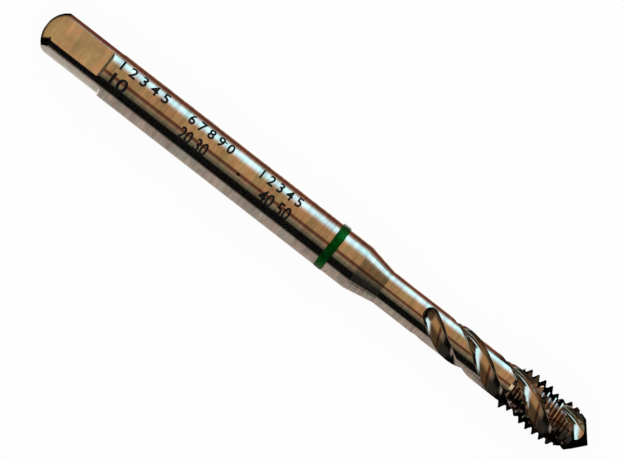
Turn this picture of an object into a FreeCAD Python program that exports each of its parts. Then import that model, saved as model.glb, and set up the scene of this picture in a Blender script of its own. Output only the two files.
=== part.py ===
import FreeCAD, Part
import math
import os
from FreeCAD import Placement, Rotation, Vector

# Machine tap for a 6 mm metric thread, with three right-hand spiral flutes, lying on its side.
# Millimetres. Each piece is built upright: its axis is +Z, from the shank end at 0 to the point.
# Angles round the axis start at +X and turn towards +Y. lay_down() then puts the tap on its side,
# with the point towards +X and the side that faced +Y uppermost.

# Driving dimensions of the shank and its square
OVERALL_LENGTH = 80.0
SHANK_DIAMETER = 6.0
END_DOME_DEPTH = 1.65
END_FLAT_DIAMETER = 1.2
ACROSS_FLATS = 4.9
TOP_FLAT_LENGTH = 8.65
SIDE_FLAT_LENGTH = 9.65
FLAT_CORNER_RADIUS = 0.4
SQUARE_TURN = 77.7

# Driving dimensions of the painted band
BAND_START = 41.65
BAND_WIDTH = 1.2
BAND_THICKNESS = 0.05

# Driving dimensions of the shoulder and the neck
SHOULDER_START = 46.1
SHOULDER_LENGTH = 3.75
NECK_DIAMETER = 4.6

# Driving dimensions of the thread, whose length is counted from the point
THREAD_DIAMETER = 6.05
THREAD_PITCH = 1.0
THREAD_LENGTH = 11.0
THREAD_BACK_TAPER = 0.45
LEAD_LENGTH = 2.3
LEAD_END_DIAMETER = 4.6
POINT_LENGTH = 2.0
THREAD_ANGLE = 60.0
CREST_SHARE = 0.125
DEPTH_SHARE = 0.6134

# Driving dimensions of the flutes. Length is counted from the point to the end of the full depth.
FLUTE_COUNT = 3
FLUTE_LEAD = 21.8
FLUTE_LENGTH = 23.3
FLUTE_TURN_AT_POINT = 104.0
CORE_DIAMETER = 2.5
FLUTE_WIDTH = 2.14
FLUTE_BOTTOM_RADIUS = 0.75
RAKE_LEAN = 4.0
RAKE_RELIEF_LEAN = 56.0
HEEL_SLOPE = 40.0
HEEL_TOP_SLOPE = 80.0
RUNOUT_RADIUS = 2.3

# How far a cutting shape reaches past the metal that it removes
MARGIN = 0.4

# The most that one edge of a flute's path covers along the tap. Short edges keep the swept faces light.
FLUTE_PATH_STEP = 3.4

SHANK_RADIUS = SHANK_DIAMETER / 2
NECK_RADIUS = NECK_DIAMETER / 2
THREAD_RADIUS = THREAD_DIAMETER / 2
CORE_RADIUS = CORE_DIAMETER / 2
THREAD_START = OVERALL_LENGTH - THREAD_LENGTH
POINT_START = OVERALL_LENGTH - POINT_LENGTH
LEAD_START = POINT_START - LEAD_LENGTH
FLUTE_START = OVERALL_LENGTH - FLUTE_LENGTH
AXIS_HEIGHT = max(SHANK_RADIUS + BAND_THICKNESS, THREAD_RADIUS)

ORIGIN = Vector(0, 0, 0)
UP = Vector(0, 0, 1)


def outline(points):
    """A closed wire of straight edges through the points."""
    return Part.makePolygon(points + points[:1])


def lay_down(shape):
    """Turn an upright piece on its side, centred along X and resting at Z = 0."""
    turn = Rotation(Vector(1, 1, 1), 120)
    shape.Placement = Placement(Vector(-OVERALL_LENGTH / 2, 0, AXIS_HEIGHT), turn).multiply(shape.Placement)
    return shape


def turned_blank():
    """The bar as turned: domed end, shank, shoulder, neck, thread blank, lead and point."""
    flat_radius = END_FLAT_DIAMETER / 2
    dome_centre = (END_DOME_DEPTH**2 + SHANK_RADIUS**2 - flat_radius**2) / (2 * END_DOME_DEPTH)
    dome_radius = math.hypot(dome_centre, flat_radius)
    middle_radius = (flat_radius + SHANK_RADIUS) / 2
    middle_depth = dome_centre - math.sqrt(dome_radius**2 - middle_radius**2)
    end_edge = Vector(flat_radius, 0, 0)
    dome_edge = Vector(SHANK_RADIUS, 0, END_DOME_DEPTH)
    dome = Part.Arc(end_edge, Vector(middle_radius, 0, middle_depth), dome_edge).toShape()
    side = Part.makePolygon(
        [
            dome_edge,
            Vector(SHANK_RADIUS, 0, SHOULDER_START),
            Vector(NECK_RADIUS, 0, SHOULDER_START + SHOULDER_LENGTH),
            Vector(NECK_RADIUS, 0, THREAD_START - THREAD_BACK_TAPER),
            Vector(THREAD_RADIUS, 0, THREAD_START),
            Vector(THREAD_RADIUS, 0, LEAD_START),
            Vector(LEAD_END_DIAMETER / 2, 0, POINT_START),
            Vector(0, 0, OVERALL_LENGTH),
            ORIGIN,
            end_edge,
        ]
    )
    half_section = Part.Face(Part.Wire([dome] + side.Edges))
    return half_section.revolve(ORIGIN, UP, 360)


def flat_cutter(length, angle):
    """The metal outside one flat of the square, with a rounded inner corner where the flat runs out."""
    flat = ACROSS_FLATS / 2
    outer = SHANK_RADIUS + MARGIN
    corner = FLAT_CORNER_RADIUS
    bend = corner * (1 - math.cos(math.pi / 4))
    flat_end = Vector(flat, 0, length - corner)
    wall_foot = Vector(flat + corner, 0, length)
    round_corner = Part.Arc(flat_end, Vector(flat + bend, 0, length - bend), wall_foot).toShape()
    rest = Part.makePolygon(
        [wall_foot, Vector(outer, 0, length), Vector(outer, 0, -MARGIN), Vector(flat, 0, -MARGIN), flat_end]
    )
    cutter = Part.Face(Part.Wire([round_corner] + rest.Edges)).extrude(Vector(0, 2 * outer, 0))
    cutter.translate(Vector(0, -outer, 0))
    cutter.rotate(ORIGIN, UP, angle)
    return cutter


def square_cutters():
    """Four flats, ground as two pairs whose lengths differ a little."""
    lengths = [TOP_FLAT_LENGTH, SIDE_FLAT_LENGTH, TOP_FLAT_LENGTH, SIDE_FLAT_LENGTH]
    return [flat_cutter(length, SQUARE_TURN + 90 * side) for side, length in enumerate(lengths)]


def helix_wire(lead, radius, start, turns, edge_count):
    """A right-hand helix from the +X side, as a row of equal edges of a turn or less each."""
    edges = []
    part = turns / edge_count
    for number in range(edge_count):
        piece = Part.makeHelix(lead, lead * part, radius)
        piece.rotate(ORIGIN, UP, 360 * part * number)
        piece.translate(Vector(0, 0, start + lead * part * number))
        edges += piece.Edges
    return Part.Wire(edges)


def thread_groove():
    """The V groove of the thread. Both its ends are in the air, past the neck and past the point."""
    side_slope = math.tan(math.radians(THREAD_ANGLE / 2))
    root_radius = THREAD_RADIUS - DEPTH_SHARE * THREAD_PITCH
    half_crest_gap = THREAD_PITCH * (1 - CREST_SHARE) / 2
    half_root = half_crest_gap - DEPTH_SHARE * THREAD_PITCH * side_slope
    flank_rise = THREAD_PITCH * CREST_SHARE / 4 / side_slope
    half_top = half_crest_gap + flank_rise * side_slope
    flank_top = THREAD_RADIUS + flank_rise
    start = THREAD_START - THREAD_PITCH
    section = outline(
        [
            Vector(root_radius, 0, start - half_root),
            Vector(flank_top, 0, start - half_top),
            Vector(flank_top + MARGIN, 0, start - half_top),
            Vector(flank_top + MARGIN, 0, start + half_top),
            Vector(flank_top, 0, start + half_top),
            Vector(root_radius, 0, start + half_root),
        ]
    )
    turns = math.ceil(THREAD_LENGTH / THREAD_PITCH) + 2
    path = helix_wire(THREAD_PITCH, THREAD_RADIUS, start, turns, turns)
    return path.makePipeShell([section], True, True)


def flute_section(heights, place):
    """The flute's section across its own direction: steep rake face, round bottom, sloped heel.

    Above the first of the heights the rake wall opens outwards and the heel wall is steep.
    """
    rake = math.radians(RAKE_LEAN)
    slope = math.radians(HEEL_SLOPE)
    centre_side = FLUTE_BOTTOM_RADIUS - FLUTE_WIDTH / 2
    centre_height = CORE_RADIUS + FLUTE_BOTTOM_RADIUS

    def on_bottom(angle):
        side = centre_side + FLUTE_BOTTOM_RADIUS * math.cos(angle)
        return side, centre_height + FLUTE_BOTTOM_RADIUS * math.sin(angle)

    rake_wall = [on_bottom(math.pi + rake)]
    heel_wall = [on_bottom(1.5 * math.pi + slope)]
    leans = [(rake, math.pi / 2 - slope), (math.radians(RAKE_RELIEF_LEAN), math.radians(90 - HEEL_TOP_SLOPE))]
    for height, (rake_lean, heel_lean) in zip(heights, leans):
        side, foot = rake_wall[-1]
        rake_wall.append((side - (height - foot) * math.tan(rake_lean), height))
        side, foot = heel_wall[-1]
        heel_wall.append((side + (height - foot) * math.tan(heel_lean), height))
    bottom = Part.Arc(place(*rake_wall[0]), place(*on_bottom(1.5 * math.pi)), place(*heel_wall[0])).toShape()
    rest = Part.makePolygon([place(*point) for point in heel_wall + rake_wall[::-1]])
    return Part.Wire([bottom] + rest.Edges)


def flute_cutters(angle):
    """One flute: a helical sweep past the point, and the round run-out where the wheel left the neck."""
    slant = math.atan(2 * math.pi * NECK_RADIUS / FLUTE_LEAD)
    across = Vector(0, math.cos(slant), -math.sin(slant))
    neck_height = math.sqrt(NECK_RADIUS**2 - (FLUTE_WIDTH / 2 * math.cos(slant)) ** 2)

    def place(side, height):
        return Vector(height, 0, FLUTE_START) + across * side

    swept_length = FLUTE_LENGTH + MARGIN
    edge_count = math.ceil(swept_length / FLUTE_PATH_STEP)
    path = helix_wire(FLUTE_LEAD, NECK_RADIUS, FLUTE_START, swept_length / FLUTE_LEAD, edge_count)
    channel = path.makePipeShell([flute_section([neck_height, THREAD_RADIUS + MARGIN], place)], True, True)
    wheel_height = CORE_RADIUS + RUNOUT_RADIUS
    rim = Part.Face(flute_section([(NECK_RADIUS + wheel_height) / 2], place))
    runout = rim.revolve(place(0, wheel_height), across * -1, 60)
    for cutter in (channel, runout):
        cutter.rotate(ORIGIN, UP, angle)
    return [channel, runout]


def tap_body():
    """The whole tap, ground from one bar."""
    first = FLUTE_TURN_AT_POINT - 360 * FLUTE_LENGTH / FLUTE_LEAD
    flutes = []
    for number in range(FLUTE_COUNT):
        flutes += flute_cutters(first + 360 * number / FLUTE_COUNT)
    body = turned_blank().cut(square_cutters())
    body = body.cut(thread_groove())
    body = body.cut(flutes)
    return body.Solids[0]


def colour_band():
    """The painted band: a thin sleeve on the shank, with edges that thin out."""
    outer = SHANK_RADIUS + BAND_THICKNESS
    section = outline(
        [
            Vector(SHANK_RADIUS, 0, BAND_START),
            Vector(outer, 0, BAND_START + BAND_THICKNESS),
            Vector(outer, 0, BAND_START + BAND_WIDTH - BAND_THICKNESS),
            Vector(SHANK_RADIUS, 0, BAND_START + BAND_WIDTH),
        ]
    )
    return Part.Face(section).revolve(ORIGIN, UP, 360)


def main():
    os.makedirs("parts", exist_ok=True)
    pieces = {"tap_body": tap_body(), "colour_band": colour_band()}
    for name, shape in pieces.items():
        laid = lay_down(shape)
        laid.exportStep("parts/" + name + ".step")
        print(name, laid.isValid(), len(laid.Solids), round(laid.Volume, 3), laid.BoundBox)


main()
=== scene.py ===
import bmesh
import bpy
import math
from mathutils import Matrix, Vector


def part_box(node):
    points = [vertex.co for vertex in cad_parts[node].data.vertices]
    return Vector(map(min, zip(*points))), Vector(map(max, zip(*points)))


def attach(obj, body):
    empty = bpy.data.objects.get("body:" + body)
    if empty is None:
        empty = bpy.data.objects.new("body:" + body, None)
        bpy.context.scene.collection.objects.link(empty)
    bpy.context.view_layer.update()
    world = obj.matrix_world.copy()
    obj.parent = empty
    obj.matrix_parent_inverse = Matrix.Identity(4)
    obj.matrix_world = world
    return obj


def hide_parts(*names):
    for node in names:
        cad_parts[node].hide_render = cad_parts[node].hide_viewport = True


# A machine tap lying on its side. Metres, in the frame's axes: +X towards the cutting point, +Z up.
# The tap's own sizes are in millimetres. Its fine mesh is first made upright, from the shank end at
# 0 to the point, and is then laid down on the place of its solid.

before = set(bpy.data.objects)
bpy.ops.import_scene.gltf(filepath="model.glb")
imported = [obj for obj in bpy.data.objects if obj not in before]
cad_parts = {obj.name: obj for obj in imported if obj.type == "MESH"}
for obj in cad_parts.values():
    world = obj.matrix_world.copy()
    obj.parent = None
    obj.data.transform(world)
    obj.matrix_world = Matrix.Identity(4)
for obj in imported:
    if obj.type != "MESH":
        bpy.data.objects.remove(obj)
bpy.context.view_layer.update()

MM = 0.001
tap_low, tap_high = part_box("tap_body")
band_low, band_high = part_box("colour_band")
AXIS_HEIGHT = (band_low.z + band_high.z) / 2

# Shank and square
OVERALL_LENGTH = (tap_high.x - tap_low.x) / MM
SHANK_RADIUS = 3.0
END_DOME_DEPTH = 1.65
END_FLAT_RADIUS = 0.6
HALF_ACROSS_FLATS = 2.45
TOP_FLAT_LENGTH = 8.65
SIDE_FLAT_LENGTH = 9.65
FLAT_CORNER_RADIUS = 0.4
SQUARE_TURN = 77.7

# Shoulder and neck
SHOULDER_START = 46.1
SHOULDER_LENGTH = 3.75
NECK_RADIUS = 2.3

# Thread, whose length is counted from the point
THREAD_RADIUS = 3.025
THREAD_PITCH = 1.0
THREAD_LENGTH = 11.0
THREAD_BACK_TAPER = 0.45
LEAD_LENGTH = 2.3
LEAD_END_RADIUS = 2.3
POINT_LENGTH = 2.0
TIP_RADIUS = 0.02
THREAD_ANGLE = 60.0
CREST_SHARE = 0.125
DEPTH_SHARE = 0.6134

# Flutes
FLUTE_COUNT = 3
FLUTE_LEAD = 21.8
FLUTE_LENGTH = 23.3
FLUTE_TURN_AT_POINT = 104.0
CORE_RADIUS = 1.38
FLUTE_WIDTH = 2.1
FLUTE_CORNER_RADIUS = 0.45
RAKE_LEAN = 6.0
RAKE_RELIEF_LEAN = 56.0
HEEL_BOTTOM_SLOPE = 2.0
HEEL_TOP_SLOPE = 80.0
RUNOUT_RADIUS = 2.3
RUNOUT_SWING = 60.0
RUNOUT_OVERLAP = 5.0

# How far a cutting shape reaches past the metal, how finely curves are divided, and how a cut is mended
MARGIN = 0.4
ROUND_STEPS = 200
THREAD_STEPS_PER_TURN = 120
FLUTE_STEPS = 240
ARC_STEPS = 20
WELD_DISTANCE = 0.001
WELD_PASSES = 3
LARGEST_HOLE_SIDES = 6

# The angles in degrees past which an edge stays sharp in the shading
BODY_EDGE_ANGLE = 10.0
BAND_EDGE_ANGLE = 50.0

THREAD_START = OVERALL_LENGTH - THREAD_LENGTH
POINT_START = OVERALL_LENGTH - POINT_LENGTH
LEAD_START = POINT_START - LEAD_LENGTH
FLUTE_START = OVERALL_LENGTH - FLUTE_LENGTH
FLUTE_SLANT = math.atan(math.tau * NECK_RADIUS / FLUTE_LEAD)
ACROSS_FLUTE = Vector((0, math.cos(FLUTE_SLANT), -math.sin(FLUTE_SLANT)))
NECK_HEIGHT = math.sqrt(NECK_RADIUS**2 - (FLUTE_WIDTH / 2 * math.cos(FLUTE_SLANT)) ** 2)

# The band's section from its start to its end, as shares of its width and of its thickness
BAND_PROFILE = [(0, -0.3), (0, 0), (0.12, 0.7), (0.3, 1), (0.7, 1), (0.88, 0.7), (1, 0), (1, -0.3)]
# How far its edges stay inside its solid on average, and their waves: depth, count and turn
BAND_START_INSET = 0.025
BAND_END_INSET = 0.03
BAND_START_WAVES = [(0.025, 3, 1), (0.02, 11, 0)]
BAND_END_WAVES = [(-0.03, 2, 4), (0.02, 13, 2)]

# Plain etched figures: text, start and width along the tap, height, angle of the foot
MARKS = [
    ("1 2 3 4 5", 9.9, 6.9, 1.5, 21.0),
    ("6 7 8 9 0", 19.9, 6.5, 1.5, 21.0),
    ("1 2 3 4 5", 30.5, 5.9, 1.5, 21.0),
    ("10", 9.8, 2.3, 1.7, -22.0),
    ("20 30", 19.9, 4.0, 1.7, -22.0),
    ("40 50", 31.7, 4.4, 1.7, -22.0),
]
MARK_PROUD = 0.01
MARK_DEPTH = 0.03
# The typed text before it is brought to size: how much its strokes gain, how its curves and its height
# are divided, and how near to a dividing line a corner counts as lying on it
MARK_STROKE_GAIN = 0.022
MARK_CURVE_STEPS = 3
MARK_STRIPS = 16
MARK_SNAP = 0.004

# The photograph: its frame, the tap's scale and slope in it, and where the middle of the tap lies
FRAME_WIDTH, FRAME_HEIGHT = 624, 460
PIXELS_PER_METRE = 8566.0
AXIS_SLOPE = 37.9
MIDDLE_PIXEL = (317.3, 235.0)
LENS = 400.0
SENSOR = 36.0
CLIP_FACTOR = 10.0

# The colours of the room and the floor that the bright metal mirrors
WINDOW = (1.05, 1.65, 2.00)
WINDOW_EDGE = (0.80, 0.72, 0.70)
CEILING = (0.54, 0.32, 0.15)
ABOVE = (0.14, 0.04, 0.02)
STREAK = (0.40, 0.28, 0.18)
SHADE = (0.17, 0.15, 0.10)
DIM_CORNER = (0.06, 0.05, 0.035)
BLACK = (0.0, 0.0, 0.0)
FILL = (0.03, 0.027, 0.025)
LAMP = (2.0, 1.8, 1.5)
PALE_FLOOR = (0.46, 0.40, 0.37)
# Painted on the floor for the metal to mirror: a painted shadow of the tap, and a painted glow about it
FLOOR_PAINTED_SHADOW = (0.20, 0.06, 0.035)
FLOOR_PAINTED_GLOW = (1.5, 1.5, 1.5)

# The room's colours at each lean, in degrees from straight up towards the far side
ROOM_BANDS = [
    (-84, PALE_FLOOR),
    (-73, BLACK),
    (-37, BLACK),
    (-30, SHADE),
    (-24, SHADE),
    (-14, STREAK),
    (-4, ABOVE),
    (3, ABOVE),
    (9, CEILING),
    (48, CEILING),
    (58, WINDOW_EDGE),
    (72, WINDOW),
    (110, WINDOW),
]
# The leans over which the near side ends and the window starts
NEAR_SIDE_END = (math.radians(-28), math.radians(-12))
WINDOW_START = (math.radians(55), math.radians(65))
# Where the rest of the room starts or ends: how far ahead, behind, up or to the far side a direction of
# length one reaches there
HIGH = (0.2, 0.35)
AHEAD = (0.12, 0.5)
STRAIGHT_AHEAD = (0.8, 0.9)
WINDOW_END_AHEAD = (0.62, 0.78)
FAR_SIDE = (0.08, 0.2)
CORNER_BEHIND = (0.3, 0.5)
WALL_BEHIND = (0.52, 0.68)
WALL_TOP = (0.14, 0.24)
WALL_LIT_SIDE = (-0.42, -0.3)
LAMP_BEHIND = (0.85, 0.9)
LAMP_FOOT = (0.3, 0.4)
# How much darker the room is ahead, and again straight ahead
AHEAD_DARKENING = 0.8
STRAIGHT_AHEAD_DARKENING = 0.7

# The floor, in metres: half its width, how far its bands reach, and its colour at each distance from
# the axis towards the far side. Among its bands are a painted glow under and beside the tap, and a
# painted shadow of the tap further out on the far side
FLOOR_HALF = 1.0
FLOOR_REACH = 0.1
FLOOR_BANDS = [
    (-0.0036, PALE_FLOOR),
    (-0.0030, FLOOR_PAINTED_GLOW),
    (0.0052, FLOOR_PAINTED_GLOW),
    (0.0072, FLOOR_PAINTED_SHADOW),
    (0.0170, FLOOR_PAINTED_SHADOW),
    (0.0280, PALE_FLOOR),
    (0.0700, WINDOW_EDGE),
]
# Where the floor turns black under the thread as a painted shadow of the tap, and its patch of light past
# the tap's domed end, around which the floor is painted shadow
PAINTED_SHADOW_AHEAD = (tap_high.x - 0.0155, tap_high.x - 0.0125)
END_BLUR = 0.0003
PATCH_PAST_END = (0.0015, 0.006)
PATCH_SIDE = (-0.0022, -0.0014)
PATCH_SLANT = 0.45
# The plain light on what is matt, the floor's matt colour, and the share of plain light in what the
# camera sees of the floor
WHITE = (1.0, 1.0, 1.0)
MATT_FLOOR = (0.85, 0.85, 0.85)
CAMERA_WHITE = 0.93

# Each ground surface: colour, roughness, grinding lines per metre and their contrast, cloudiness,
# share of cells with a pit, and strength of the bump
FINISHES_AND_PAINTED_SHADE = {
    "round": ((0.60, 0.56, 0.53), 0.11, 2600.0, 1.8, 0.7, 0.25, 0.15),
    "flat": ((0.70, 0.66, 0.60), 0.2, 1500.0, 1.0, 0.9, 0.25, 0.2),
    # The thread's colour is darker than ground steel: painted shade in its grooves
    "thread": ((0.34, 0.28, 0.27), 0.12, 2600.0, 0.5, 0.1, 0.0, 0.1),
    "flute": ((0.60, 0.53, 0.49), 0.1, 2600.0, 0.6, 0.1, 0.0, 0.1),
}
# The metal's patterns, as cells per metre along the tap and across it
FINE_LINES_ACROSS = 260.0
BROAD_LINES = (700.0, 130.0)
CLOUDS = (330.0, 500.0)
TINTS = (900.0, 300.0)
PIT_CELLS = (330.0, 420.0)
STAIN_PATCHES = (240.0, 420.0)
# How the patterns show
FINE_SHARE = 0.7
TINT_EDGES = (0.35, 0.65)
WARM_TINT = (1.08, 0.97, 0.90)
OLIVE_TINT = (0.92, 1.03, 0.92)
GRINDING_DEPTH = 0.00002
LARGEST_PIT = 0.09
PIT = (0.05, 0.03, 0.02)
PIT_STRENGTH = 0.9
STAIN_EDGES = (0.64, 0.85)
STAIN = (0.30, 0.24, 0.18)
STAIN_STRENGTH = 0.35
STAIN_ROUGHNESS = 0.12

# The paint, and the black of the figures
PAINT_PATCHES_PER_METRE = 1800.0
PAINT_SHADES = [(0.35, (0.0005, 0.045, 0.003)), (0.65, (0.002, 0.11, 0.012))]
PAINT_BUMP = 0.3
PAINT_DEPTH = 0.00003
OXIDE = (0.006, 0.006, 0.007)

# The places of a Mix node's colours among its sockets
MIX_FIRST, MIX_SECOND, MIX_RESULT = 6, 7, 2


def arc(centre, radius, start, end, steps):
    """Points along an arc, with its angles in radians."""
    points = []
    for step in range(steps + 1):
        angle = start + (end - start) * step / steps
        points.append((centre[0] + radius * math.cos(angle), centre[1] + radius * math.sin(angle)))
    return points


def finished_piece(name, mesh, material):
    """An object in the scene from an edited mesh, with its faces turned outwards."""
    bmesh.ops.recalc_face_normals(mesh, faces=mesh.faces)
    data = bpy.data.meshes.new(name)
    mesh.to_mesh(data)
    mesh.free()
    data.materials.append(material)
    piece = bpy.data.objects.new(name, data)
    bpy.context.scene.collection.objects.link(piece)
    return piece


def closed_piece(name, rings, material):
    """A closed mesh through rings of points. A ring of one point is a pole. Wider end rings are capped."""
    mesh = bmesh.new()
    rows = [[mesh.verts.new(point) for point in ring] for ring in rings]
    for one, two in zip(rows, rows[1:]):
        count = max(len(one), len(two))
        for here in range(count):
            after = (here + 1) % count
            corners = [one[here % len(one)], one[after % len(one)]]
            corners += [two[after % len(two)], two[here % len(two)]]
            mesh.faces.new(dict.fromkeys(corners))
    for row in (rows[0], rows[-1]):
        if len(row) > 2:
            mesh.faces.new(row)
    return finished_piece(name, mesh, material)


def turned_blank(material):
    """The bar as turned: domed end, shank, shoulder, neck, thread blank, lead and point."""
    centre = (END_DOME_DEPTH**2 + SHANK_RADIUS**2 - END_FLAT_RADIUS**2) / (2 * END_DOME_DEPTH)
    radius = math.hypot(centre, END_FLAT_RADIUS)
    first = math.asin(END_FLAT_RADIUS / radius) - math.pi / 2
    last = math.asin(SHANK_RADIUS / radius) - math.pi / 2
    profile = arc((0, centre), radius, first, last, ARC_STEPS)
    profile += [
        (SHANK_RADIUS, SHOULDER_START),
        (NECK_RADIUS, SHOULDER_START + SHOULDER_LENGTH),
        (NECK_RADIUS, THREAD_START - THREAD_BACK_TAPER),
        (THREAD_RADIUS, THREAD_START),
        (THREAD_RADIUS, LEAD_START),
        (LEAD_END_RADIUS, POINT_START),
        (TIP_RADIUS, OVERALL_LENGTH - TIP_RADIUS * POINT_LENGTH / LEAD_END_RADIUS),
    ]
    rings = [[Vector((0, 0, 0))]]
    for ring_radius, height in profile:
        circle = arc((0, 0), ring_radius, 0, math.tau, ROUND_STEPS)[:-1]
        rings.append([Vector((x, y, height)) for x, y in circle])
    rings.append([Vector((0, 0, OVERALL_LENGTH))])
    return closed_piece("tap_body_fine", rings, material)


def flat_cutter(length, angle, material):
    """The metal outside one flat of the square, with a rounded inner corner where the flat runs out."""
    outer = SHANK_RADIUS + MARGIN
    centre = (HALF_ACROSS_FLATS + FLAT_CORNER_RADIUS, length - FLAT_CORNER_RADIUS)
    outline = arc(centre, FLAT_CORNER_RADIUS, math.pi, math.pi / 2, ARC_STEPS // 2)
    outline += [(outer, length), (outer, -MARGIN), (HALF_ACROSS_FLATS, -MARGIN)]
    turn = Matrix.Rotation(math.radians(angle), 3, "Z")
    sides = [[turn @ Vector((x, side, z)) for x, z in outline] for side in (-outer, outer)]
    return closed_piece("flat_cutter", sides, material)


def screwed(section, lead, first_angle, turns, steps):
    """Copies of a section along a right-hand screw round the axis."""
    rings = []
    for step in range(steps + 1):
        done = turns * step / steps
        turn = Matrix.Rotation(first_angle + math.tau * done, 3, "Z")
        rings.append([turn @ point + Vector((0, 0, lead * done)) for point in section])
    return rings


def thread_cutter(material):
    """The V groove of the thread. Both its ends are in the air, past the neck and past the point."""
    side_slope = math.tan(math.radians(THREAD_ANGLE / 2))
    root_radius = THREAD_RADIUS - DEPTH_SHARE * THREAD_PITCH
    half_crest_gap = THREAD_PITCH * (1 - CREST_SHARE) / 2
    half_root = half_crest_gap - DEPTH_SHARE * THREAD_PITCH * side_slope
    flank_rise = THREAD_PITCH * CREST_SHARE / 4 / side_slope
    half_top = half_crest_gap + flank_rise * side_slope
    flank_top = THREAD_RADIUS + flank_rise
    side = [(root_radius, half_root), (flank_top, half_top), (flank_top + MARGIN, half_top)]
    outline = [(radius, -height) for radius, height in side] + side[::-1]
    start = THREAD_START - THREAD_PITCH
    section = [Vector((radius, 0, start + height)) for radius, height in outline]
    turns = math.ceil(THREAD_LENGTH / THREAD_PITCH) + 2
    rings = screwed(section, THREAD_PITCH, 0, turns, turns * THREAD_STEPS_PER_TURN)
    return closed_piece("thread_cutter", rings, material)


def flute_place(side, height):
    """A point of the flute's section where the full depth starts."""
    return Vector((height, 0, FLUTE_START)) + ACROSS_FLUTE * side


def flute_section(top, rake_top_lean):
    """The flute's section across its own direction: steep rake face, round corner and hollow heel.

    Above the neck the heel wall is steep and the rake wall has a lean of its own, up to the top.
    """
    lean = math.radians(RAKE_LEAN)
    bottom = math.radians(HEEL_BOTTOM_SLOPE)
    half_width = FLUTE_WIDTH / 2
    wall_rise = NECK_HEIGHT - CORE_RADIUS - FLUTE_CORNER_RADIUS * (1 - math.sin(lean))
    lowest = FLUTE_CORNER_RADIUS * math.cos(lean) + wall_rise * math.tan(lean) - half_width
    corner_centre = (lowest, CORE_RADIUS + FLUTE_CORNER_RADIUS)
    corner = arc(corner_centre, FLUTE_CORNER_RADIUS, math.pi + lean, 1.5 * math.pi + bottom, ARC_STEPS)
    side, height = corner[-1]
    edge = 2 * math.atan((NECK_HEIGHT - height) / (half_width - side)) - bottom
    radius = (half_width - side) / (math.sin(edge) - math.sin(bottom))
    centre = (side - radius * math.sin(bottom), height + radius * math.cos(bottom))
    heel = arc(centre, radius, 1.5 * math.pi + bottom, 1.5 * math.pi + edge, ARC_STEPS)
    rake_edge = (corner[0][0] - (NECK_HEIGHT - corner[0][1]) * math.tan(lean), NECK_HEIGHT)
    heel_top = half_width + (top - NECK_HEIGHT) / math.tan(math.radians(HEEL_TOP_SLOPE))
    rake_top = rake_edge[0] - (top - NECK_HEIGHT) * math.tan(math.radians(rake_top_lean))
    outline = [rake_edge] + corner + heel[1:] + [(heel_top, top), (rake_top, top)]
    return [flute_place(*point) for point in outline]


def flute_cutters(angle, material):
    """One flute: a helical channel past the point, and a round run-out where the wheel left the neck."""
    section = flute_section(THREAD_RADIUS + MARGIN, RAKE_RELIEF_LEAN)
    turns = (FLUTE_LENGTH + MARGIN) / FLUTE_LEAD
    first = math.radians(angle)
    channel = screwed(section, FLUTE_LEAD, first, turns, FLUTE_STEPS)
    wheel_height = CORE_RADIUS + RUNOUT_RADIUS
    rim_height = (NECK_RADIUS + wheel_height) / 2
    rim = flute_section(rim_height, RAKE_LEAN)
    hub = flute_place(0, wheel_height)
    turn = Matrix.Rotation(first, 3, "Z")
    runout = []
    for step in range(ARC_STEPS + 1):
        swing = (RUNOUT_SWING + RUNOUT_OVERLAP) * step / ARC_STEPS - RUNOUT_OVERLAP
        roll = Matrix.Rotation(math.radians(swing), 3, -ACROSS_FLUTE)
        runout.append([turn @ (hub + roll @ (point - hub)) for point in rim])
    return [closed_piece("channel", channel, material), closed_piece("runout", runout, material)]


def cut(body, cutters):
    """Take the cutters away from the body. The faces that they leave keep the cutters' material."""
    for cutter in cutters:
        step = body.modifiers.new("cut", "BOOLEAN")
        step.operation = "DIFFERENCE"
        step.solver = "MANIFOLD"
        step.material_mode = "TRANSFER"
        step.object = cutter
        evaluated = body.evaluated_get(bpy.context.evaluated_depsgraph_get())
        whole = bpy.data.meshes.new_from_object(evaluated)
        body.modifiers.clear()
        body.data = whole
        bpy.data.objects.remove(cutter)


def weld(piece):
    """Join corners closer than the weld distance, and clear the slivers and doubled faces left."""
    mesh = bmesh.new()
    mesh.from_mesh(piece.data)
    bmesh.ops.triangulate(mesh, faces=mesh.faces)
    for _ in range(WELD_PASSES):
        bmesh.ops.remove_doubles(mesh, verts=mesh.verts, dist=WELD_DISTANCE)
        bmesh.ops.dissolve_degenerate(mesh, dist=WELD_DISTANCE, edges=mesh.edges)
        places = {}
        for face in mesh.faces:
            places.setdefault(frozenset(face.verts), []).append(face)
        doubled = [face for faces in places.values() if len(faces) > 1 for face in faces]
        bmesh.ops.delete(mesh, geom=doubled, context="FACES")
        open_edges = [edge for edge in mesh.edges if edge.is_boundary]
        bmesh.ops.holes_fill(mesh, edges=open_edges, sides=LARGEST_HOLE_SIDES)
        bmesh.ops.triangulate(mesh, faces=[face for face in mesh.faces if len(face.verts) > 3])
    mesh.to_mesh(piece.data)
    mesh.free()


def lay_down(piece):
    """Turn an upright mesh on its side and bring it to metres, in the place of its solid."""
    axes = Matrix(((0, 0, 1, 0), (1, 0, 0, 0), (0, 1, 0, 0), (0, 0, 0, 1)))
    move = Matrix.Translation((tap_low.x, 0, AXIS_HEIGHT))
    piece.data.transform(move @ axes @ Matrix.Scale(MM, 4))
    piece.data.update()


def smooth_between_edges(piece, angle):
    """Smooth shading that stops at edges sharper than the angle."""
    for face in piece.data.polygons:
        face.use_smooth = True
    piece.data.set_sharp_from_angle(angle=math.radians(angle))


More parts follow.
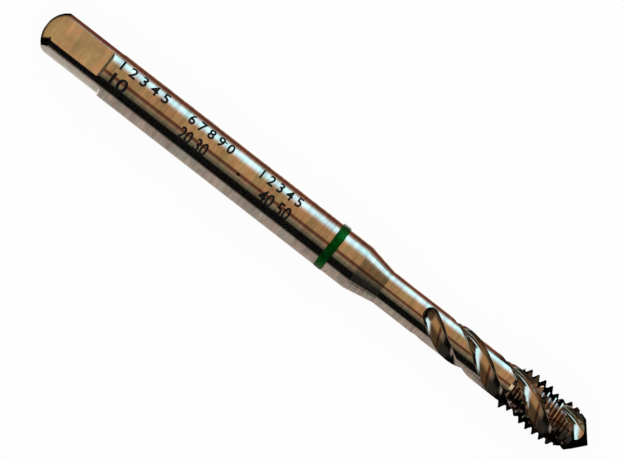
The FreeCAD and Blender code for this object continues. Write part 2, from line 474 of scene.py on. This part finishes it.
def make_tap_body(materials):
    """The whole tap, ground from one bar."""
    body = turned_blank(materials["round"])
    lengths = [TOP_FLAT_LENGTH, SIDE_FLAT_LENGTH, TOP_FLAT_LENGTH, SIDE_FLAT_LENGTH]
    flats = []
    for number, length in enumerate(lengths):
        flats.append(flat_cutter(length, SQUARE_TURN + 360 * number / len(lengths), materials["flat"]))
    cut(body, flats)
    cut(body, [thread_cutter(materials["thread"])])
    first = FLUTE_TURN_AT_POINT - 360 * FLUTE_LENGTH / FLUTE_LEAD
    for number in range(FLUTE_COUNT):
        cut(body, flute_cutters(first + 360 * number / FLUTE_COUNT, materials["flute"]))
    weld(body)
    lay_down(body)
    smooth_between_edges(body, BODY_EDGE_ANGLE)
    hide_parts("tap_body")
    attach(body, "root")


def wavering(angle, waves):
    """How far a brushed edge strays at an angle round the shank."""
    return sum(depth * math.sin(count * angle + turn) for depth, count, turn in waves)


def band_section(angle):
    """The painted band's section at an angle round the shank."""
    thickness = (band_high.z - band_low.z) / 2 / MM - SHANK_RADIUS
    start = band_low.x / MM + BAND_START_INSET + wavering(angle, BAND_START_WAVES)
    end = band_high.x / MM - BAND_END_INSET + wavering(angle, BAND_END_WAVES)
    section = []
    for share, height in BAND_PROFILE:
        radius = SHANK_RADIUS + thickness * height
        x = start + (end - start) * share
        point = Vector((x, radius * math.sin(angle), radius * math.cos(angle))) * MM
        section.append(point + Vector((0, 0, AXIS_HEIGHT)))
    return section


def make_band(material):
    """The painted band, whose edges waver a little as brushed paint does."""
    mesh = bmesh.new()
    rows = []
    for step in range(ROUND_STEPS):
        section = band_section(math.tau * step / ROUND_STEPS)
        rows.append([mesh.verts.new(point) for point in section])
    for row, after in zip(rows, rows[1:] + rows[:1]):
        for here in range(len(row)):
            beside = (here + 1) % len(row)
            mesh.faces.new([row[here], row[beside], after[beside], after[here]])
    band = finished_piece("colour_band_fine", mesh, material)
    smooth_between_edges(band, BAND_EDGE_ANGLE)
    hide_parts("colour_band")
    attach(band, "root")


def typed_outline(name, text):
    """The flat mesh of a text, with its left edge, right edge, foot and head."""
    curve = bpy.data.curves.new(name, "FONT")
    curve.body = text
    curve.resolution_u = MARK_CURVE_STEPS
    curve.offset = MARK_STROKE_GAIN
    typed = bpy.data.objects.new(name, curve)
    bpy.context.scene.collection.objects.link(typed)
    flat = bpy.data.meshes.new_from_object(typed.evaluated_get(bpy.context.evaluated_depsgraph_get()))
    bpy.data.objects.remove(typed)
    mesh = bmesh.new()
    mesh.from_mesh(flat)
    wide = [vertex.co.x for vertex in mesh.verts]
    tall = [vertex.co.y for vertex in mesh.verts]
    return mesh, min(wide), max(wide), min(tall), max(tall)


def make_mark(name, text, start, width, height, angle, material):
    """Plain figures wrapped round the shank: start and width along the axis, angle of their foot."""
    mesh, left, right, foot, head = typed_outline(name, text)
    for strip in range(1, MARK_STRIPS):
        level = (0, foot + (head - foot) * strip / MARK_STRIPS, 0)
        geometry = mesh.verts[:] + mesh.edges[:] + mesh.faces[:]
        bmesh.ops.bisect_plane(mesh, geom=geometry, dist=MARK_SNAP, plane_co=level, plane_no=(0, 1, 0))
    solid = bmesh.ops.extrude_face_region(mesh, geom=mesh.faces[:])
    sunk = {item for item in solid["geom"] if isinstance(item, bmesh.types.BMVert)}
    for vertex in mesh.verts:
        along = start + width * (vertex.co.x - left) / (right - left)
        up = (vertex.co.y - foot) / (head - foot)
        turn = math.radians(angle) + up * height / SHANK_RADIUS
        radius = SHANK_RADIUS + (-MARK_DEPTH if vertex in sunk else MARK_PROUD)
        place = Vector((along, radius * math.sin(turn), radius * math.cos(turn)))
        vertex.co = place * MM + Vector((tap_low.x, 0, AXIS_HEIGHT))
    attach(finished_piece(name, mesh, material), "root")


def make_camera():
    """Straight above the tap, turned so that its axis slopes down to the right as in the photograph."""
    slope = math.radians(AXIS_SLOPE)
    right = Vector((math.cos(slope), math.sin(slope), 0))
    up = Vector((-math.sin(slope), math.cos(slope), 0))
    aside = (FRAME_WIDTH / 2 - MIDDLE_PIXEL[0]) / PIXELS_PER_METRE
    above = (MIDDLE_PIXEL[1] - FRAME_HEIGHT / 2) / PIXELS_PER_METRE
    distance = FRAME_WIDTH / PIXELS_PER_METRE * LENS / SENSOR
    data = bpy.data.cameras.new("camera")
    data.lens = LENS
    data.sensor_width = SENSOR
    data.clip_start = distance / CLIP_FACTOR
    data.clip_end = distance * CLIP_FACTOR
    camera = bpy.data.objects.new("camera", data)
    camera.location = right * aside + up * above + Vector((0, 0, AXIS_HEIGHT + distance))
    camera.rotation_euler = (0, 0, slope)
    bpy.context.scene.collection.objects.link(camera)
    bpy.context.scene.camera = camera


def new_material(name):
    """A material with an empty node tree."""
    material = bpy.data.materials.new(name)
    material.use_nodes = True
    material.node_tree.nodes.clear()
    return material


def add_node(tree, kind, **values):
    """A node with its settings given by name."""
    node = tree.nodes.new(kind)
    for key, value in values.items():
        setattr(node, key, value)
    return node


def plug(tree, socket, value):
    """Give an input a number or another node's output."""
    if isinstance(value, bpy.types.NodeSocket):
        tree.links.new(value, socket)
    else:
        socket.default_value = value


def plug_colour(tree, socket, value):
    """Give an input a red, green and blue or another node's output."""
    plug(tree, socket, value if isinstance(value, bpy.types.NodeSocket) else (*value, 1.0))


def finish_tree(tree, shader, kind="ShaderNodeOutputMaterial"):
    """Send a shader to the output of its tree."""
    plug(tree, add_node(tree, kind).inputs[0], shader.outputs[0])


def calculate(tree, operation, first, second):
    """A Math node. Each input is a number or a socket."""
    node = add_node(tree, "ShaderNodeMath", operation=operation)
    plug(tree, node.inputs[0], first)
    plug(tree, node.inputs[1], second)
    return node.outputs[0]


def add(tree, first, second):
    """The sum of two numbers or sockets."""
    return calculate(tree, "ADD", first, second)


def subtract(tree, first, second):
    """The first number or socket less the second."""
    return calculate(tree, "SUBTRACT", first, second)


def multiply(tree, first, second):
    """The product of two numbers or sockets."""
    return calculate(tree, "MULTIPLY", first, second)


def between(tree, value, low, high):
    """A number that rises smoothly from 0 to 1 as the value goes from low to high."""
    node = add_node(tree, "ShaderNodeMapRange", interpolation_type="SMOOTHSTEP")
    plug(tree, node.inputs["Value"], value)
    plug(tree, node.inputs["From Min"], low)
    plug(tree, node.inputs["From Max"], high)
    return node.outputs[0]


def not_between(tree, value, low, high):
    """A number that falls smoothly from 1 to 0 as the value goes from low to high."""
    return subtract(tree, 1.0, between(tree, value, low, high))


def ramp(tree, factor, stops):
    """A colour ramp from (position, colour) stops."""
    node = add_node(tree, "ShaderNodeValToRGB")
    elements = node.color_ramp.elements
    while len(elements) < len(stops):
        elements.new(0.5)
    for element, (position, colour) in zip(elements, stops):
        element.position = position
        element.color = (*colour, 1.0)
    plug(tree, node.inputs["Fac"], factor)
    return node.outputs["Color"]


def banded(tree, value, reach, bands):
    """Colours at places along a value that runs from minus its reach to plus its reach."""
    position = add(tree, calculate(tree, "DIVIDE", value, 2 * reach), 0.5)
    return ramp(tree, position, [(0.5 + place / (2 * reach), colour) for place, colour in bands])


def mix_colour(tree, factor, first, second):
    """A Mix node for colours."""
    node = add_node(tree, "ShaderNodeMix", data_type="RGBA")
    plug(tree, node.inputs["Factor"], factor)
    plug_colour(tree, node.inputs[MIX_FIRST], first)
    plug_colour(tree, node.inputs[MIX_SECOND], second)
    return node.outputs[MIX_RESULT]


def split_vector(tree, vector):
    """The three parts of a vector."""
    node = add_node(tree, "ShaderNodeSeparateXYZ")
    plug(tree, node.inputs[0], vector)
    return node.outputs["X"], node.outputs["Y"], node.outputs["Z"]


def bumped_normal(tree, height, strength, distance):
    """A normal tilted by the slopes of a height."""
    node = add_node(tree, "ShaderNodeBump")
    plug(tree, node.inputs["Strength"], strength)
    plug(tree, node.inputs["Distance"], distance)
    plug(tree, node.inputs["Height"], height)
    return node.outputs[0]


def room_colour(tree, direction):
    """What the metal mirrors of the room in a direction.

    Ahead is towards the tap's point, and the far side is the one towards the photograph's upper edge.
    """
    ahead, far, up = split_vector(tree, direction)
    behind = multiply(tree, ahead, -1.0)
    lean = calculate(tree, "ARCTAN2", far, up)
    high = between(tree, up, *HIGH)
    bands = [(math.radians(degrees), colour) for degrees, colour in ROOM_BANDS]
    across = banded(tree, lean, math.pi, bands)

    dim = mix_colour(tree, AHEAD_DARKENING, across, BLACK)
    dim = mix_colour(tree, not_between(tree, lean, *NEAR_SIDE_END), dim, FILL)
    darkening = multiply(tree, between(tree, ahead, *STRAIGHT_AHEAD), STRAIGHT_AHEAD_DARKENING)
    dim = mix_colour(tree, darkening, dim, BLACK)
    dim = mix_colour(tree, high, BLACK, dim)
    room = mix_colour(tree, between(tree, ahead, *AHEAD), across, dim)

    window = mix_colour(tree, between(tree, ahead, *WINDOW_END_AHEAD), across, BLACK)
    room = mix_colour(tree, between(tree, lean, *WINDOW_START), room, window)

    far_side = between(tree, far, *FAR_SIDE)
    corner = mix_colour(tree, high, BLACK, DIM_CORNER)
    corner_share = multiply(tree, between(tree, behind, *CORNER_BEHIND), far_side)
    room = mix_colour(tree, corner_share, room, corner)

    not_far = subtract(tree, 1.0, far_side)
    wall = mix_colour(tree, between(tree, far, *WALL_LIT_SIDE), BLACK, CEILING)
    wall_share = multiply(tree, between(tree, behind, *WALL_BEHIND), not_far)
    wall_share = multiply(tree, wall_share, not_between(tree, up, *WALL_TOP))
    room = mix_colour(tree, wall_share, room, wall)

    lamp_share = multiply(tree, between(tree, behind, *LAMP_BEHIND), between(tree, up, *LAMP_FOOT))
    return mix_colour(tree, multiply(tree, lamp_share, not_far), room, LAMP)


def make_world():
    """Plain white light on what is matt, and a room with a low window for the metal to mirror."""
    world = bpy.data.worlds.new("studio")
    bpy.context.scene.world = world
    world.use_nodes = True
    tree = world.node_tree
    tree.nodes.clear()
    direction = add_node(tree, "ShaderNodeTexCoord").outputs["Generated"]
    mirrored = add_node(tree, "ShaderNodeLightPath").outputs["Is Glossy Ray"]
    background = add_node(tree, "ShaderNodeBackground")
    seen = mix_colour(tree, mirrored, WHITE, room_colour(tree, direction))
    plug(tree, background.inputs["Color"], seen)
    finish_tree(tree, background, "ShaderNodeOutputWorld")


def floor_painted_light_and_shade(tree, place):
    """What the metal mirrors of the floor at a place, with painted shadow of the tap under the thread and
    past the domed end.
    """
    along, far, _ = split_vector(tree, place)
    beside = banded(tree, far, FLOOR_REACH, FLOOR_BANDS)
    # Black under the thread: a painted shadow of the tap
    beside = mix_colour(tree, between(tree, along, *PAINTED_SHADOW_AHEAD), beside, BLACK)
    past_end = subtract(tree, tap_low.x, along)
    aside = add(tree, far, multiply(tree, past_end, PATCH_SLANT))
    patch = multiply(tree, between(tree, past_end, *PATCH_PAST_END), between(tree, aside, *PATCH_SIDE))
    # Past the domed end the floor is black, a painted shadow, except for the patch of light
    behind = mix_colour(tree, patch, BLACK, CEILING)
    return mix_colour(tree, between(tree, past_end, -END_BLUR, END_BLUR), beside, behind)


def make_floor():
    """A plain pale floor, white to the camera but for the tap's shadow, and banded with painted light and
    painted shadow for the metal.
    """
    mesh = bpy.data.meshes.new("floor")
    half = FLOOR_HALF
    corners = [(-half, -half, 0), (half, -half, 0), (half, half, 0), (-half, half, 0)]
    mesh.from_pydata(corners, [], [(0, 1, 2, 3)])
    floor = bpy.data.objects.new("floor", mesh)
    bpy.context.scene.collection.objects.link(floor)
    material = new_material("pale_floor")
    tree = material.node_tree
    place = add_node(tree, "ShaderNodeTexCoord").outputs["Object"]
    path = add_node(tree, "ShaderNodeLightPath")
    mirrored = path.outputs["Is Glossy Ray"]
    matt = add_node(tree, "ShaderNodeBsdfDiffuse")
    plug_colour(tree, matt.inputs["Color"], MATT_FLOOR)
    glow = add_node(tree, "ShaderNodeEmission")
    plug(tree, glow.inputs["Color"], mix_colour(tree, mirrored, WHITE, floor_painted_light_and_shade(tree, place)))
    share = add(tree, multiply(tree, path.outputs["Is Camera Ray"], CAMERA_WHITE), mirrored)
    mix = add_node(tree, "ShaderNodeMixShader")
    plug(tree, mix.inputs[0], share)
    plug(tree, mix.inputs[1], matt.outputs[0])
    plug(tree, mix.inputs[2], glow.outputs[0])
    finish_tree(tree, mix)
    mesh.materials.append(material)


def new_group(name, inputs, outputs):
    """An empty node group with a vector and named numbers going in, and named numbers coming out."""
    group = bpy.data.node_groups.new(name, "ShaderNodeTree")
    group.interface.new_socket("Vector", in_out="INPUT", socket_type="NodeSocketVector")
    for label in inputs:
        group.interface.new_socket(label, in_out="INPUT", socket_type="NodeSocketFloat")
    for label in outputs:
        group.interface.new_socket(label, in_out="OUTPUT", socket_type="NodeSocketFloat")
    return group, add_node(group, "NodeGroupInput"), add_node(group, "NodeGroupOutput")


def use_group(tree, group, **values):
    """A node of the group, with its inputs given by name."""
    node = add_node(tree, "ShaderNodeGroup", node_tree=group)
    for label, value in values.items():
        plug(tree, node.inputs[label], value)
    return node


def stretched(tree, vector, along, across):
    """The vector scaled by one factor along the tap and another across it."""
    parts = add_node(tree, "ShaderNodeCombineXYZ")
    plug(tree, parts.inputs["X"], along)
    plug(tree, parts.inputs["Y"], across)
    plug(tree, parts.inputs["Z"], across)
    node = add_node(tree, "ShaderNodeVectorMath", operation="MULTIPLY")
    plug(tree, node.inputs[0], vector)
    plug(tree, node.inputs[1], parts.outputs[0])
    return node.outputs[0]


def noise(tree, vector, detail, roughness, scale=1.0):
    """The factor of a Noise texture."""
    node = add_node(tree, "ShaderNodeTexNoise")
    plug(tree, node.inputs["Vector"], vector)
    plug(tree, node.inputs["Scale"], scale)
    plug(tree, node.inputs["Detail"], detail)
    plug(tree, node.inputs["Roughness"], roughness)
    return node.outputs["Fac"]


def about_zero(tree, factor, strength):
    """A factor from 0 to 1 made to vary about zero by a strength."""
    return multiply(tree, subtract(tree, factor, 0.5), strength)


def grinding_group():
    """Fine grinding lines round the tap: a shade and a tint for the metal, and a height for its bump."""
    inputs = ["Lines", "Contrast", "Cloudiness"]
    group, given, result = new_group("grinding_lines", inputs, ["Shade", "Tint", "Height"])
    vector = given.outputs["Vector"]
    along_fine = stretched(group, vector, given.outputs["Lines"], FINE_LINES_ACROSS)
    fine = noise(group, along_fine, detail=3.0, roughness=0.65)
    broad = noise(group, stretched(group, vector, *BROAD_LINES), detail=2.0, roughness=0.5)
    cloud = noise(group, stretched(group, vector, *CLOUDS), detail=4.0, roughness=0.6)
    spread = noise(group, stretched(group, vector, *TINTS), detail=3.0, roughness=0.6)
    lines = add(group, multiply(group, fine, FINE_SHARE), multiply(group, broad, 1 - FINE_SHARE))
    lines = about_zero(group, lines, given.outputs["Contrast"])
    clouds = about_zero(group, cloud, given.outputs["Cloudiness"])
    plug(group, result.inputs["Shade"], add(group, add(group, lines, clouds), 1.0))
    plug(group, result.inputs["Tint"], between(group, spread, *TINT_EDGES))
    plug(group, result.inputs["Height"], fine)
    return group


def wear_group():
    """Small dark pits and faint oily stains: how much of each lies at a place."""
    group, given, result = new_group("wear", ["Pits"], ["Pits", "Stains"])
    vector = given.outputs["Vector"]
    cells = add_node(group, "ShaderNodeTexVoronoi")
    plug(group, cells.inputs["Vector"], stretched(group, vector, *PIT_CELLS))
    plug(group, cells.inputs["Scale"], 1.0)
    chance = add_node(group, "ShaderNodeSeparateColor")
    plug(group, chance.inputs[0], cells.outputs["Color"])
    chosen = calculate(group, "LESS_THAN", chance.outputs[0], given.outputs["Pits"])
    size = multiply(group, chance.outputs[1], LARGEST_PIT)
    inside = calculate(group, "LESS_THAN", cells.outputs["Distance"], size)
    plug(group, result.inputs["Pits"], multiply(group, chosen, inside))
    patches = noise(group, stretched(group, vector, *STAIN_PATCHES), detail=5.0, roughness=0.65)
    plug(group, result.inputs["Stains"], between(group, patches, *STAIN_EDGES))
    return group


def steel(name, colour, roughness, lines, contrast, cloudiness, pits, bump):
    """Bright ground steel with grinding lines, stains and a few pits."""
    material = new_material(name)
    tree = material.node_tree
    place = add_node(tree, "ShaderNodeTexCoord").outputs["Object"]
    ground = use_group(
        tree, GRINDING, Vector=place, Lines=lines, Contrast=contrast, Cloudiness=cloudiness
    )
    worn = use_group(tree, WEAR, Vector=place, Pits=pits)
    stains = worn.outputs["Stains"]
    warm = [part * share for part, share in zip(colour, WARM_TINT)]
    olive = [part * share for part, share in zip(colour, OLIVE_TINT)]
    bright = add_node(tree, "ShaderNodeVectorMath", operation="SCALE")
    plug(tree, bright.inputs[0], mix_colour(tree, ground.outputs["Tint"], warm, olive))
    plug(tree, bright.inputs["Scale"], ground.outputs["Shade"])
    stained = mix_colour(tree, multiply(tree, stains, STAIN_STRENGTH), bright.outputs[0], STAIN)
    pitted = mix_colour(tree, multiply(tree, worn.outputs["Pits"], PIT_STRENGTH), stained, PIT)
    metal = add_node(tree, "ShaderNodeBsdfPrincipled")
    plug(tree, metal.inputs["Base Color"], pitted)
    plug(tree, metal.inputs["Metallic"], 1.0)
    plug(tree, metal.inputs["Roughness"], add(tree, multiply(tree, stains, STAIN_ROUGHNESS), roughness))
    relief = bumped_normal(tree, ground.outputs["Height"], bump, GRINDING_DEPTH)
    plug(tree, metal.inputs["Normal"], relief)
    finish_tree(tree, metal)
    return material


def green_paint():
    """Thin green paint, a little patchy."""
    material = new_material("green_paint")
    tree = material.node_tree
    place = add_node(tree, "ShaderNodeTexCoord").outputs["Object"]
    patches = noise(tree, place, detail=3.0, roughness=0.6, scale=PAINT_PATCHES_PER_METRE)
    paint = add_node(tree, "ShaderNodeBsdfPrincipled")
    plug(tree, paint.inputs["Base Color"], ramp(tree, patches, PAINT_SHADES))
    plug(tree, paint.inputs["Metallic"], 0.75)
    plug(tree, paint.inputs["Specular IOR Level"], 0.1)
    plug(tree, paint.inputs["Roughness"], 0.3)
    plug(tree, paint.inputs["Normal"], bumped_normal(tree, patches, PAINT_BUMP, PAINT_DEPTH))
    finish_tree(tree, paint)
    return material


def etched_black():
    """The matt black oxide of the marking."""
    material = new_material("etched_black")
    tree = material.node_tree
    oxide = add_node(tree, "ShaderNodeBsdfPrincipled")
    plug_colour(tree, oxide.inputs["Base Color"], OXIDE)
    plug(tree, oxide.inputs["Roughness"], 0.6)
    plug(tree, oxide.inputs["Specular IOR Level"], 0.15)
    finish_tree(tree, oxide)
    return material


bpy.context.scene.view_settings.view_transform = "Standard"
make_camera()
make_world()
make_floor()
GRINDING = grinding_group()
WEAR = wear_group()
steels = {surface: steel("ground_steel_" + surface, *finish) for surface, finish in FINISHES_AND_PAINTED_SHADE.items()}
make_tap_body(steels)
make_band(green_paint())
black = etched_black()
for number, mark in enumerate(MARKS):
    make_mark("mark_%d" % number, *mark, black)
